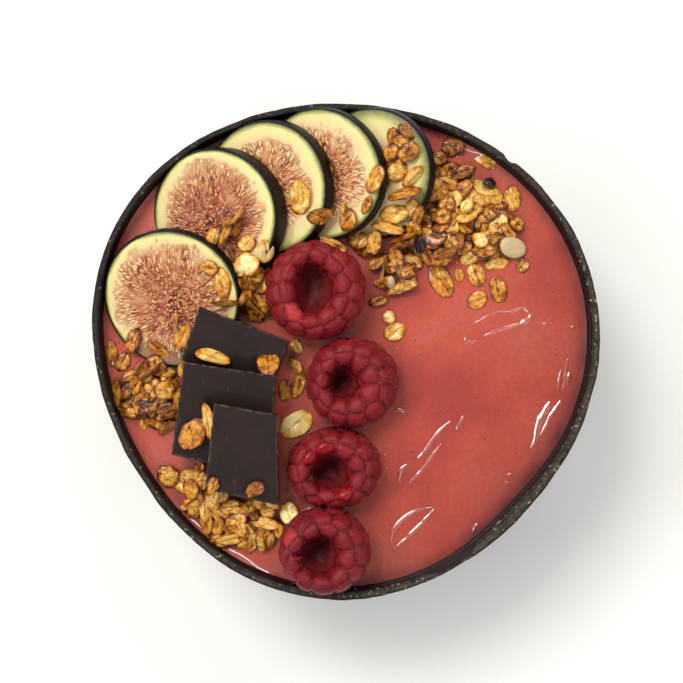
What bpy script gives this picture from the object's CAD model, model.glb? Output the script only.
"""Looks of a coconut shell bowl of pink smoothie with its toppings.

Sizes are in millimetres until a mesh is made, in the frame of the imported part:
the origin is the middle of the bowl's foot, +Z is up, and the figs lie on the
+Y side. Every random draw is seeded.
"""

import itertools
import math
import random

import bpy
import numpy as np
from mathutils import Matrix, Vector


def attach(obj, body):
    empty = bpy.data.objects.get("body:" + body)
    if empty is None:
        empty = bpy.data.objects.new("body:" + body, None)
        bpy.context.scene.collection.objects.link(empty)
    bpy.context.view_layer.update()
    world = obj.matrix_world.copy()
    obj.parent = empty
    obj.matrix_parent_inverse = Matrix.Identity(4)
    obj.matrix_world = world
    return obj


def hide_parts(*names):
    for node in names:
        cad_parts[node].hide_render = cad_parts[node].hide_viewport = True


MM = 0.001

# Camera: straight above, as the photo has it
PHOTO_WIDTH = 683                  # pixels
PIXEL = 0.2526                     # mm at the rim
BOWL_PIXEL = (344.75, 345.65)      # where the bowl's axis stands in the photo
CAMERA_RISE = 330.0                # over the rim

# Coconut shell
SHELL_RADIUS = 64.0
SHELL_LOBES = ((2, 0.76, -29.4), (3, 1.58, 73.9), (4, 0.26, -49.8))
RIM_HEIGHT = 58.0
WIDEST_HEIGHT = 50.0
SHELL_CURVE = 52.6
FLOOR_HEIGHT = 4.5
CUP_POWER = 2.2
WALL_MEAN = 1.9
WALL_SWING = 0.3
WALL_THIN_SIDE = 130.0
WALL_BULGE = 1.1
WALL_BULGE_SIDE = -43.0
WALL_BULGE_SPREAD = 15.0
CHIP_SIDE = -63.0
CHIP_SPREAD = 6.0
CHIP_DEPTH = 1.3
CHIP_BITE = 0.85                   # how far the chip reaches over the rim's top, of its width
CHIP_BORDER = 0.1                  # where the rim's top turns to the broken face, of its width
NOTCH_SIDE = 48.4                  # a nick in the rim's outer edge
NOTCH_SPREAD = 1.3
NOTCH_DEPTH = 0.8
RIM_ROUND = 0.4
RIM_LIGHT_SIDE = -40.0             # the sawn edge is greyer here and nearly black opposite
SHELL_STEPS = 400
OUTSIDE_ROWS = 44
RIM_ROWS = 17
INSIDE_HEIGHTS = (55.6, 54.4, 53.2, 52.0, 50.0, 44.0, 36.0, 28.0, 20.0, 13.0, 8.0, 5.4)
RIM_UNEVEN = ((0.16, 9, 3), (0.06, 40, 4))       # size, waves round the rim, seed
INNER_UNEVEN = (0.12, 25, 8)
FLAKED_OFF = 0.35                  # depth of the small breaks along the rim's inner edge
FIBRE_RISE = 0.05
UNEVEN_FROM = 45.0                 # the outside is smooth up to here
UNEVEN_RISE = 12.0                 # and fully uneven this much higher
OUTSIDE, TOP, INSIDE = 0, 1, 2     # the shell's materials

# Smoothie
LEVEL = 52.4
GAP = 0.3
MENISCUS_RISE = 0.18
MENISCUS_REACH = 0.9
# Banks where the smoothie climbs the wall: side, spread, height
BANKS = ((-119.0, 17.0, 0.85), (61.0, 8.0, 0.85), (152.0, 12.0, 0.5), (8.0, 18.0, 0.25))
BANK_REACH = 2.0
SURFACE_ROWS = 130
SURFACE_CROWDING = 1.3             # above 1 the rings lie closer together near the wall
WALL_GAP = 0.03
SUNKEN_HEIGHTS = (5.6, 8.0, 13.0, 22.0, 33.0, 44.0, 50.0)
WAVES = ((0.10, 21.0, 11), (0.035, 7.0, 12), (0.012, 2.2, 13))     # height, size, seed
# Swells: x, y, half length, half width, heading, height
SWELLS = ((30.0, -10.0, 16.0, 7.0, 15.0, 0.20), (44.0, -30.0, 9.0, 5.0, 60.0, 0.25),
          (39.8, 5.3, 9.4, 3.2, 20.0, 0.16), (21.0, -26.5, 12.4, 2.6, 48.0, 0.16),
          (17.2, -46.4, 7.8, 2.6, 50.0, 0.16), (53.2, -18.0, 13.2, 2.4, 64.0, 0.18))
# Thin ridges left by the spoon: half width, then the line they follow
RIDGES = (
    (0.34, (32.8, 5.4), (34.8, 6.6), (37.2, 8.0), (39.6, 8.5), (42.4, 8.6), (46.2, 9.5), (47.3, 8.6),
     (48.1, 7.3)),
    (0.75, (47.7, 8.4), (47.7, 7.1), (46.3, 6.0), (44.8, 5.4)),
    (0.42, (45.3, 5.7), (43.1, 5.0), (39.6, 4.0), (35.7, 2.4)),
    (0.40, (33.7, 1.4), (32.1, 0.6), (31.2, 1.4), (31.0, 2.6)),
    (0.45, (50.6, 5.5), (52.0, 5.7)),
    (0.45, (58.6, 5.2), (58.6, 4.1)),
    (0.42, (57.3, -3.4), (57.0, -5.6), (56.7, -8.4), (56.1, -11.8)),
    (0.50, (57.8, -6.7), (57.5, -8.4), (57.1, -10.3)),
    (0.36, (55.6, -6.0), (55.1, -9.8), (55.1, -11.8)),
    (0.45, (55.6, -13.9), (54.3, -16.0), (52.7, -18.4), (51.5, -21.1), (49.8, -23.9)),
    (0.80, (52.9, -14.2), (51.5, -16.7), (50.3, -19.1), (49.6, -21.5), (48.9, -24.6), (47.9, -26.4)),
    (0.40, (41.4, -33.2), (42.9, -33.2)),
    (0.36, (41.0, -35.1), (42.2, -35.3)),
    (0.48, (27.3, -19.4), (25.2, -21.1), (22.8, -23.9), (20.7, -27.0), (18.7, -29.2)),
    (0.42, (16.2, -30.4), (14.5, -31.8), (13.9, -35.5)),
    (0.40, (30.5, -17.9), (29.8, -19.7), (28.6, -21.8)),
    (0.42, (24.7, -25.2), (23.5, -27.0), (21.6, -29.7), (19.4, -32.5), (16.6, -35.4)),
    (0.42, (23.4, -41.5), (20.4, -45.0), (16.2, -49.2), (12.4, -52.8)),
    (0.40, (12.4, -52.8), (11.9, -48.9), (13.4, -46.1), (16.8, -43.2), (20.4, -42.0), (23.4, -41.5)),
    (0.40, (30.1, -53.3), (30.9, -51.2), (31.7, -49.9)),
    (0.36, (32.9, -48.1), (33.5, -46.8), (34.2, -45.6)),
    (0.34, (12.1, -17.0), (13.9, -16.5), (15.5, -17.3)),
)
RIDGE_STEEPNESS = 0.34             # height over half width
RIDGE_WIDENING = 1.3
RIDGE_SPACING = 0.3
RIDGE_SIDES = 20
BUBBLES = 150
BUBBLE_SIZES = (0.16, 0.42)
BUBBLE_PLACES = (0.85, 1.2)        # how far out, of the reach of what they gather round
BUBBLE_MARGINS = (2.5, 1.5)        # of that reach past a mound and past a berry
CLIMB = 0.5                        # how high the smoothie climbs a berry
CLIMB_FROM = 0.86                  # of the berry's outline
CLIMB_FALL = 0.06
JUICE = 0.30                       # stain of a berry's juice beside it
JUICE_REACH = 2.6
SYRUP_MARGIN = 3.0                 # how far syrup reaches past a mound
REDDER = 0.46                      # how much redder the smoothie is on one side of the bowl
REDDER_WAY = (0.8, -0.6)
REDDER_FROM = 12.0
REDDER_RISE = 40.0
WALL_STAIN = (0.5, 0.3)            # close to the wall: everywhere, and more on the shady side
WALL_SHADE = 0.34                  # farther out, on the shady side alone
WALL_SHADE_REACH = 6.0
WALL_FALL = 1.5
SHADY_SIDE = -28.0                 # where the wall stains and shades it most
SHADY_SPREAD = 52.0

# Fig slices: x, y, face height, radius, thickness, tilt, raised side
FIG_SLICES = (
    (-44.0, 11.8, 58.0, 17.5, 3.6, 15.0, 50.0),
    (-33.1, 32.4, 59.3, 17.2, 6.4, 24.0, 20.0),
    (-19.9, 39.8, 59.0, 16.6, 5.2, 24.0, 22.0),
    (-6.3, 43.0, 58.8, 16.5, 4.2, 24.0, 22.0),
    (6.4, 43.4, 58.2, 16.2, 3.6, 24.0, 22.0),
)
FIG_STEPS = 220
FIG_SHARES = np.concatenate([np.linspace(0.02, 0.8, 62), np.linspace(0.82, 1.0, 22)])
SKIN_FROM = 0.972                  # share of the radius
SKIN_SHARE = 0.028
# Zones that the look paints: where the pulp ends, how many the flesh has, and both for the skin
PULP_ZONE = 0.26
FLESH_ZONES = 0.5
SKIN_ZONE = 0.78
SKIN_ZONES = 0.2
RED_PULP = 0.4                     # slices redder than this have a hollow heart
LONG_STRANDS = 0.55                # strands are long outside this share of the pulp
STRAND_SPACING = 0.68
FIG_FLARE = 0.4
FIG_WOBBLE = ((2, 0.012), (3, 0.008))
FIG_PULP = (0.84, 0.80, 0.72, 0.74, 0.36)    # how far the pulp reaches, of the radius
FIG_REDNESS = (0.45, 0.75, 0.15, 0.10, 0.05)
FIG_SYRUP = 1.4                    # syrup wets what lies under this y, the end of the first slice
# Where the strands meet, from the middle of each slice
FIG_HEARTS = ((1.5, -1.5), (-1.0, -3.4), (0.0, -2.0), (0.0, -2.0), (0.0, -1.0))

# Raspberries: x, y, crown height, width, depth, turn
RASPBERRIES = (
    (-7.4, 14.0, 67.0, 26.0, 25.6, 10.0),
    (2.0, -9.2, 66.0, 24.0, 23.4, 55.0),
    (-2.6, -31.0, 64.5, 24.4, 21.4, 20.0),
    (-5.0, -51.4, 68.5, 23.6, 22.4, 75.0),
)
# Their hollows: offset x, y, half width, half depth
HOLLOWS = ((-0.5, 0.3, 4.6, 6.2), (-2.4, 0.0, 3.6, 4.0), (-1.3, -0.8, 4.7, 4.2), (-1.5, -0.5, 4.6, 4.8))
PALE_DRUPELETS = (((-5.9, -3.9),), (), (), ((-7.2, 5.4),))
WET_DRUPELETS = ((), (), ((-7.5, 4.6), (-3.2, 5.6), (3.4, -6.4)), ())
# Outline of a berry's cut: share from the hollow's edge to the widest part, level under the crown
BERRY_OUTLINE = (
    (-0.45, -11.2), (-0.30, -10.6), (-0.16, -9.2), (-0.06, -7.2), (0.0, -5.2), (0.03, -3.6), (0.09, -2.3),
    (0.20, -1.3), (0.36, -0.75), (0.52, -0.95), (0.68, -1.8), (0.82, -3.4), (0.93, -5.6), (1.0, -8.4),
    (0.98, -11.2), (0.88, -13.8), (0.66, -15.6), (0.30, -16.4),
)
BERRY_ROWS = 96
HAIRS = 120
HAIR_WIDTH = 0.028
HAIR_LENGTHS = (0.8, 1.9)
BERRY_STEPS = 168
BERRY_FIRST = (10, 9, 9, 9)        # drupelets round the hollow
BERRY_TONE = (0.60, 0.55, 0.54, 0.50)
# Rows of drupelets: share, level, how many more than round the hollow
DRUPELET_ROWS = ((-0.04, -9.6, 0), (0.0, -5.6, 1), (0.27, -1.0, 0), (0.78, -2.9, 3), (0.99, -8.0, 4),
                 (0.93, -12.9, 3), (0.5, -16.0, 0))
DRUPELET_SWELL = 1.2
DRUPELET_SHOULDER = 1.75
HOLLOW_FROM = 2.6                  # under the crown the hollow's skin grows smoother and darker
HOLLOW_SHARE = 0.3

# Chocolate: four corners, height at the first, tilt, raised side
CHOCOLATE = (
    (((-35.8, 9.7), (-13.9, 1.2), (-18.9, -12.0), (-40.9, -3.6)), 66.2, 19.3, 113.0),
    (((-39.6, -4.0), (-17.0, -7.4), (-19.2, -33.4), (-43.4, -27.3)), 67.2, 15.4, 109.0),
    (((-32.0, -14.0), (-16.4, -17.0), (-16.6, -40.0), (-34.8, -35.8)), 69.0, 15.4, 109.0),
)
CHOCOLATE_THICKNESS = 4.3
CHOCOLATE_EDGE = 0.3
# Its rings, from the lower face to the middle of the upper one: inset, depth, how worn
CHOCOLATE_RINGS = (
    (0.6, CHOCOLATE_THICKNESS, 0.1), (0.0, CHOCOLATE_THICKNESS - 0.5, 0.1),
    (0.0, CHOCOLATE_THICKNESS * 0.5, 0.0), (0.0, CHOCOLATE_EDGE, 0.5),
    (CHOCOLATE_EDGE * 0.45, CHOCOLATE_EDGE * 0.3, 1.0), (CHOCOLATE_EDGE * 1.3, 0.0, 0.6),
    (CHOCOLATE_EDGE * 2.4, 0.0, 0.0), (4.0, 0.04, 0.0), (8.0, 0.02, 0.0),
)
CHOCOLATE_SIDE_STEPS = 16
SHARP_ANGLE = 38.0

# Granola mounds: x, y, half length, half width, heading, height
HEAPS = {
    "granola_upper": ((23.5, 27.4, 8.0, 5.6, 25.0, 4.6), (35.5, 29.5, 8.2, 7.6, 0.0, 1.8),
                      (14.2, 20.0, 6.0, 4.2, 50.0, 2.2), (30.8, 38.6, 5.4, 6.4, 60.0, 1.2)),
    "granola_middle": ((-23.2, 14.2, 3.0, 5.0, 10.0, 3.2),),
    "granola_left": ((-50.2, -12.4, 7.2, 7.2, 0.0, 2.6),),
    "granola_lower": ((-26.4, -45.6, 8.8, 4.8, 0.0, 2.2), (-36.2, -39.0, 4.4, 6.4, 35.0, 1.6)),
}
MOUND_STEPS = 72
MOUND_ROWS = 22
MOUND_SINK = 1.6
MOUND_FOOT = 0.66                  # size of its foot, of its own size

# Oat flakes and seeds: x, y, length, width, heading, way of lying, tone (0 pale to 1 brown).
# They come down in this order, so that the later ones lie on top.
FLAT, EDGE, BIT, SEED, BERRY = "flat", "edge", "bit", "seed", "berry"
UPPER = (
    (-2.9, 25.8, 8.2, 3.3, -22, FLAT, 0.6), (-6.1, 33.2, 7.7, 5.1, 0, FLAT, 0.5),
    (-11.6, 38.1, 8.7, 6.7, 80, FLAT, 0.2), (-3.4, 45.4, 5.1, 2.4, 100, EDGE, 0.7),
    (-0.4, 35.0, 4.0, 2.0, 80, EDGE, 0.1), (5.7, 36.1, 5.1, 2.6, 70, FLAT, 0.6),
    (0.8, 32.2, 6.0, 5.0, 60, BIT, 0.5), (7.8, 42.5, 7.7, 4.5, 65, FLAT, 0.55),
    (4.9, 25.8, 7.0, 6.0, 60, BIT, 0.6), (3.9, 27.6, 6.4, 5.6, 60, FLAT, 0.5),
    (7.5, 26.3, 6.4, 2.2, 75, EDGE, 0.4), (16.0, 55.0, 6.0, 5.0, 20, BIT, 0.8),
    (12.6, 53.4, 5.0, 4.0, 100, BIT, 0.75), (14.7, 51.7, 6.0, 5.0, 120, BIT, 0.7),
    (12.0, 49.6, 5.6, 4.4, 50, BIT, 0.7), (16.2, 49.7, 6.0, 5.0, 60, BIT, 0.65),
    (13.0, 46.6, 6.0, 4.6, 80, FLAT, 0.6), (13.4, 44.5, 5.5, 5.0, 10, FLAT, 0.35),
    (17.5, 43.2, 7.2, 2.4, 50, EDGE, 0.15), (15.4, 39.4, 9.0, 3.0, 8, EDGE, 0.5),
    (14.8, 38.2, 8.4, 2.6, 4, EDGE, 0.45), (19.3, 25.8, 4.6, 3.1, 90, BERRY, 1.0),
    (14.9, 27.6, 9.0, 2.6, 20, EDGE, 0.45), (13.6, 25.6, 7.4, 2.6, 15, EDGE, 0.6),
    (11.1, 30.2, 9.0, 3.0, -15, EDGE, 0.4), (18.8, 33.0, 7.7, 3.2, 80, FLAT, 0.6),
    (12.6, 34.0, 8.2, 5.1, -10, FLAT, 0.25), (17.2, 35.4, 5.2, 3.6, 60, FLAT, 0.2),
    (23.9, 47.9, 5.0, 4.0, 0, BIT, 0.7), (27.0, 45.0, 5.1, 3.9, 30, BIT, 0.65),
    (24.6, 43.2, 5.4, 3.4, 110, BIT, 0.5), (28.8, 43.0, 5.1, 2.0, 10, EDGE, 0.4),
    (26.6, 41.4, 6.4, 2.6, -12, EDGE, 0.45), (30.6, 40.2, 5.6, 4.0, 40, FLAT, 0.65),
    (23.1, 28.1, 6.4, 5.6, 0, FLAT, 0.75), (24.7, 30.6, 5.0, 4.0, 30, FLAT, 0.6),
    (26.2, 23.8, 6.2, 2.4, 10, EDGE, 0.5), (29.0, 27.3, 6.2, 3.9, 90, FLAT, 0.75),
    (31.1, 30.2, 5.6, 4.0, 20, FLAT, 0.6), (25.2, 33.0, 4.8, 4.8, 0, BIT, 0.5),
    (31.1, 33.2, 7.2, 4.6, 30, FLAT, 0.3), (31.3, 35.8, 5.0, 3.4, 60, BIT, 0.0),
    (35.6, 24.2, 6.6, 3.4, 0, EDGE, 0.6), (34.7, 27.1, 4.6, 4.0, 0, BIT, 0.15),
    (35.2, 31.4, 6.4, 3.9, 80, FLAT, 0.75), (37.2, 34.2, 5.2, 3.6, 40, FLAT, 0.5),
    (37.2, 41.8, 3.8, 2.8, 10, BERRY, 1.0),
    (38.4, 38.4, 5.1, 4.9, 0, FLAT, 0.3), (43.0, 37.7, 7.2, 4.6, 100, FLAT, 0.4),
    (45.6, 20.6, 4.6, 3.1, 60, FLAT, 0.7),
    (39.0, 20.9, 6.4, 3.6, 10, FLAT, 0.35), (29.3, 18.1, 3.9, 2.6, 90, FLAT, 0.5),
    (33.8, 18.1, 6.7, 5.1, 110, FLAT, 0.4), (39.3, 14.3, 7.2, 4.4, 105, FLAT, 0.55),
    (34.0, 11.6, 5.6, 5.1, 30, FLAT, 0.55), (24.7, 16.6, 10.0, 6.0, 115, FLAT, 0.5),
    (36.0, 47.3, 7.2, 3.2, 150, FLAT, 0.45), (27.8, 50.9, 6.4, 5.0, 30, BIT, 0.8),
    (8.5, 11.4, 5.0, 3.0, 20, BIT, 0.8), (11.8, 16.1, 4.1, 2.1, 90, SEED, 0.1),
    (10.0, 19.4, 7.7, 2.6, 75, EDGE, 0.5), (8.6, 21.6, 6.0, 4.0, 40, FLAT, 0.55),
    (13.2, 22.6, 6.6, 4.0, 110, FLAT, 0.5), (15.7, 19.1, 5.6, 4.6, 10, FLAT, 0.9),
    (15.7, 15.3, 6.4, 2.8, 20, FLAT, 0.3), (11.3, 7.3, 3.6, 3.2, 70, BIT, 0.0),
    (12.9, 3.5, 6.2, 4.6, 30, FLAT, 0.3), (27.2, 37.1, 6.8, 5.0, 45, FLAT, 0.25),
    (23.1, 39.4, 8.4, 6.4, 50, FLAT, 0.5), (39.3, 31.3, 6.2, 5.4, 90, FLAT, 0.1),
    (43.0, 25.1, 7.7, 5.4, -15, SEED, 0.3),
)
MIDDLE = (
    (-34.5, 19.9, 4.4, 4.0, 0, BIT, 0.7), (-29.9, 10.7, 9.0, 2.6, -5, EDGE, 0.75),
    (-31.7, 16.1, 8.2, 5.1, 100, FLAT, 0.55), (-24.3, 15.6, 6.0, 4.0, 70, FLAT, 0.8),
    (-23.0, 7.9, 5.0, 4.0, 0, FLAT, 0.75), (-22.4, 11.6, 5.4, 4.0, 110, FLAT, 0.7),
    (-25.4, 12.4, 5.0, 3.4, 40, FLAT, 0.75), (-29.4, 24.0, 6.4, 2.6, 110, EDGE, 0.8),
    (-33.3, 27.9, 4.6, 2.0, 75, EDGE, 0.3), (-28.9, 30.4, 6.4, 5.6, 50, FLAT, 0.8),
    (-30.4, 28.6, 7.0, 2.6, 55, EDGE, 0.7), (-27.6, 32.6, 6.0, 2.4, 50, EDGE, 0.65),
    (-22.6, 18.4, 6.0, 4.2, 30, FLAT, 0.5), (-25.3, 20.7, 7.0, 6.0, 45, BIT, 0.0),
    (-25.1, 26.1, 5.1, 4.0, 30, FLAT, 0.5), (-20.3, 24.1, 6.7, 5.1, 105, FLAT, 0.15),
)
LEFT = (
    (-59.7, -1.9, 7.2, 3.1, 95, FLAT, 0.5), (-56.9, -4.2, 6.0, 4.0, 60, FLAT, 0.6),
    (-54.0, 1.2, 6.2, 4.6, 60, BIT, 0.6), (-47.6, -0.8, 7.8, 3.2, -38, FLAT, 0.55),
    (-42.9, 7.1, 2.6, 1.0, 90, EDGE, 0.3), (-41.2, 2.2, 7.2, 6.4, 50, FLAT, 0.3),
    (-52.5, -5.7, 5.6, 2.6, 60, EDGE, 0.5), (-49.7, -6.5, 6.8, 2.4, 40, EDGE, 0.5),
    (-41.5, -6.5, 5.1, 4.1, 80, FLAT, 0.25), (-45.6, -7.0, 4.6, 3.6, 20, FLAT, 0.35),
    (-58.7, -11.9, 8.7, 5.0, 100, FLAT, 0.5), (-53.6, -10.2, 6.0, 4.4, 60, FLAT, 0.5),
    (-54.8, -17.3, 4.0, 3.2, 0, FLAT, 0.6), (-52.2, -13.9, 8.0, 4.1, 80, FLAT, 0.55),
    (-49.0, -10.6, 5.6, 4.6, 130, FLAT, 0.4), (-48.6, -19.6, 6.6, 5.0, 150, FLAT, 0.75),
    (-45.2, -21.0, 6.0, 2.6, 30, EDGE, 0.5), (-42.0, -13.4, 6.7, 4.4, 100, FLAT, 0.5),
    (-45.8, -16.8, 7.7, 5.1, 20, BIT, 0.75), (-45.8, -11.4, 5.6, 5.6, 0, BIT, 0.25),
    (-50.4, -16.6, 6.0, 5.0, 40, BIT, 0.8),
)
LOWER = (
    (-45.3, -33.2, 6.2, 6.0, 0, BIT, 0.5), (-29.2, -49.6, 7.7, 3.1, 10, FLAT, 0.2),
    (-37.1, -30.6, 5.1, 3.1, 80, BIT, 0.75), (-36.1, -34.6, 4.6, 4.6, 0, BIT, 0.75),
    (-33.6, -35.6, 4.4, 3.4, 60, BIT, 0.7), (-39.5, -36.8, 6.2, 5.2, 130, FLAT, 0.55),
    (-38.4, -42.1, 7.0, 3.9, 75, FLAT, 0.35), (-35.8, -41.9, 6.6, 3.2, 95, FLAT, 0.3),
    (-32.2, -44.6, 6.8, 2.8, 130, EDGE, 0.25), (-31.2, -38.0, 6.0, 3.0, 80, FLAT, 0.3),
    (-33.0, -38.2, 5.8, 2.8, 80, FLAT, 0.35), (-29.4, -41.4, 5.6, 3.9, 10, FLAT, 0.5),
    (-27.8, -46.4, 6.8, 3.6, 160, FLAT, 0.55), (-24.6, -41.6, 5.6, 4.2, 30, BIT, 0.5),
    (-27.0, -43.4, 5.0, 3.6, 120, FLAT, 0.4), (-21.5, -40.3, 4.6, 4.0, 0, FLAT, 0.45),
    (-23.0, -36.8, 5.4, 4.2, 30, BIT, 0.75), (-18.7, -40.3, 4.6, 3.1, 130, FLAT, 0.4),
    (-19.7, -42.4, 4.6, 3.8, 30, FLAT, 0.35), (-14.4, -43.0, 5.8, 4.9, 110, FLAT, 0.15),
    (-17.0, -47.6, 4.6, 3.2, 70, FLAT, 0.6), (-23.8, -50.3, 6.4, 2.8, 85, FLAT, 0.3),
    (-21.4, -50.6, 6.7, 2.8, 95, FLAT, 0.35), (-19.0, -49.8, 5.6, 2.8, 85, FLAT, 0.5),
    (-20.4, -45.6, 7.6, 3.6, 165, FLAT, 0.35),
)
CHOCOLATE_FLAKES = (
    (-12.2, -0.3, 4.4, 2.8, 120, FLAT, 0.3), (-12.5, -5.2, 5.2, 2.4, 120, EDGE, 0.35),
    (-15.3, -11.6, 6.0, 3.4, 80, FLAT, 0.55), (-11.7, -10.0, 7.4, 3.4, 70, FLAT, 0.5),
    (-33.8, -2.9, 9.0, 2.6, -15, EDGE, 0.15), (-19.7, -4.4, 8.7, 5.9, 95, FLAT, 0.6),
    (-38.8, -22.6, 8.7, 6.7, 70, BIT, 0.6), (-34.9, -19.2, 10.3, 4.1, 95, FLAT, 0.3),
    (-12.5, -20.2, 9.7, 6.6, 35, FLAT, 0.05),
)
READ_SHARE = 0.985                 # from the places as read to the view's scale
FLAKE_STEPS = 26
# Each heap's flakes, and what soaking in syrup adds to their tone
HEAP_FLAKES = {
    "granola_upper": (UPPER, 0.0), "granola_middle": (MIDDLE, -0.16), "granola_left": (LEFT, 0.09),
    "granola_lower": (LOWER, -0.08),
}
# A flake's rings, from the middle of its lower side to that of its upper one: share, side
FLAKE_RINGS = np.array([(0.3, -1), (0.65, -1), (0.9, -1), (1.0, 1), (0.95, 1), (0.87, 1), (0.77, 1),
                        (0.65, 1), (0.52, 1), (0.38, 1), (0.22, 1), (0.08, 1)])
# Each way of lying: thickness, crumpling, depth of the groove, raggedness, kind that the look reads
FLAKE_KINDS = {
    FLAT: (0.85, 0.16, 0.22, 0.10, 0.0),
    EDGE: (0.85, 0.14, 0.14, 0.10, 0.0),
    BIT: (1.9, 0.42, 0.20, 0.20, 0.0),
    SEED: (1.9, 0.02, 0.0, 0.02, 0.5),
    BERRY: (1.5, 0.20, 0.10, 0.10, 1.0),
}
FLAKE_SINK = 0.35
FLAKE_REST = 0.34
FLAKE_COVER = 0.75
FLAKE_TOSS = 12.0
TOSS_FROM = 0.6                    # flakes that rest lower than this over the smoothie aren't tossed
EDGE_WIDTH = 4.4
EDGE_RISE = 0.28
EDGE_LEAN = 58.0
STEEPEST_REST = 32.0
FILL_SPACING = 2.9
FILL_CLEAR = 1.6
FILL_TRIES = 160
MAP_STEP = 0.4
MAP_REACH = 70.0

# Room light by how high it comes from: 0 at the level of the table, 1 overhead
ROOM_LIGHT = ((0.0, 0.70), (0.45, 0.58), (0.75, 0.33), (1.0, 0.12))
ROOM_TINT = (1.0, 0.99, 0.97)
# Panels of light, in metres: name, place, width, height, power, colour
LIGHTS = (
    ("window", (-0.31, 0.43, 0.906), 0.32, 0.32, 5.2, (1.0, 0.98, 0.94)),
    ("strip_left", (-0.65, 0.22, 0.85), 0.95, 0.06, 3.8, (1.0, 0.97, 0.93)),
    ("strip_right", (0.50, -0.42, 0.85), 0.7, 0.045, 1.4, (1.0, 0.92, 0.97)),
    ("strip_back", (0.30, 0.59, 0.85), 0.7, 0.08, 2.5, (1.0, 0.97, 0.95)),
    ("strip_front", (-0.30, -0.58, 0.85), 0.5, 0.03, 1.0, (1.0, 0.97, 0.95)),
)
FLOOR_REACH = 2.0                  # metres


# Shapes shared with the solids

def turned(angle, way):
    """The angle from a direction in degrees, brought to -180..180 degrees."""
    return (np.degrees(angle) - way + 180.0) % 360.0 - 180.0


def outer_radius(angle, height):
    lobes = sum(size * np.cos(count * angle - np.radians(way)) for count, size, way in SHELL_LOBES)
    bulge = np.sqrt(1.0 - ((height - WIDEST_HEIGHT) / SHELL_CURVE) ** 2)
    return bulge * (SHELL_RADIUS + lobes * np.minimum(1.0, height / WIDEST_HEIGHT))


def rim_wall(angle):
    bulge = np.exp(-(turned(angle, WALL_BULGE_SIDE) / WALL_BULGE_SPREAD) ** 2)
    swing = np.cos(np.radians(turned(angle, WALL_THIN_SIDE)))
    return WALL_MEAN - WALL_SWING * swing + WALL_BULGE * bulge


def inner_radius(angle, height):
    depth = (RIM_HEIGHT - height) / (RIM_HEIGHT - FLOOR_HEIGHT)
    fullness = (1.0 - depth ** CUP_POWER) ** (1.0 / CUP_POWER)
    return (outer_radius(angle, RIM_HEIGHT) - rim_wall(angle)) * fullness


def rim_drop(angle):
    return CHIP_DEPTH * np.exp(-(turned(angle, CHIP_SIDE) / CHIP_SPREAD) ** 4)


def seen_from(x, y, middle_x, middle_y, heading):
    """A place measured from a middle, along and across a heading."""
    way = math.radians(heading)
    along = (x - middle_x) * math.cos(way) + (y - middle_y) * math.sin(way)
    across = (y - middle_y) * math.cos(way) - (x - middle_x) * math.sin(way)
    return along, across


def leaning(x, y, z, tilt, heading):
    """Placement of a piece whose side at the heading is raised by the tilt."""
    way = math.radians(heading)
    axis = Vector((math.sin(way), -math.cos(way), 0.0))
    return Matrix.Translation((x, y, z)) @ Matrix.Rotation(math.radians(tilt), 4, axis)


def laid(x, y, z, heading):
    """Placement of a piece that lies level, turned to the heading."""
    return Matrix.Translation((x, y, z)) @ Matrix.Rotation(math.radians(heading), 4, "Z")


def plane_height(x, y, place, tilt, heading):
    run, _ = seen_from(x, y, place[0], place[1], heading)
    return place[2] + run * math.tan(math.radians(tilt))


def berry_reach(x, y, berry):
    """How far out a place lies from a berry's middle: 1 at its outline."""
    middle_x, middle_y, _, width, depth, _ = berry
    return np.hypot((x - middle_x) / width * 2, (y - middle_y) / depth * 2)


# Noise and meshes

def lattice(x, y, z, seed):
    """A fixed value in 0..1 for each whole-numbered place."""
    mixed = (x * 73856093) ^ (y * 19349663) ^ (z * 83492791) ^ (seed * 26544357)
    mixed = (mixed & 0x7FFFFFFF) * 1274126177
    return (((mixed >> 13) ^ (mixed >> 29)) & 0xFFFF) / 65535.0


def soft_noise(x, y, z, size, seed=0):
    """Smooth noise in -1..1 with features of the given size."""
    place = np.stack(np.broadcast_arrays(x, y, z), -1) / size
    cell = np.floor(place).astype(np.int64)
    share = place - cell
    share = share * share * (3.0 - 2.0 * share)
    total = np.zeros(share.shape[:-1])
    for corner in itertools.product((0, 1), repeat=3):
        weight = np.prod(np.where(corner, share, 1.0 - share), axis=-1)
        total += weight * lattice(*np.moveaxis(cell + np.array(corner), -1, 0), seed)
    return 2.0 * total - 1.0


def noise_round(angle, waves, seed, height=0.0):
    """Smooth noise round the axis; more waves make it finer."""
    return soft_noise(waves * np.cos(angle), waves * np.sin(angle), height, 1.0, seed)


def around(count):
    return np.arange(count) * 2.0 * np.pi / count


def limit(value, low, high):
    return min(max(value, low), high)


def ring_points(radius, angle, height):
    """Points of one ring; the radius and height may vary round it."""
    radius, angle, height = np.broadcast_arrays(radius, angle, height)
    return np.stack([radius * np.cos(angle), radius * np.sin(angle), height], -1)


def placed(points, matrix):
    turn = np.array(matrix)
    return points @ turn[:3, :3].T + turn[:3, 3]


def new_object(name, data):
    made = bpy.data.objects.new(name, data)
    bpy.context.scene.collection.objects.link(made)
    return made


def end_middles(rings):
    return rings[0].mean(0), rings[-1].mean(0)


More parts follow.
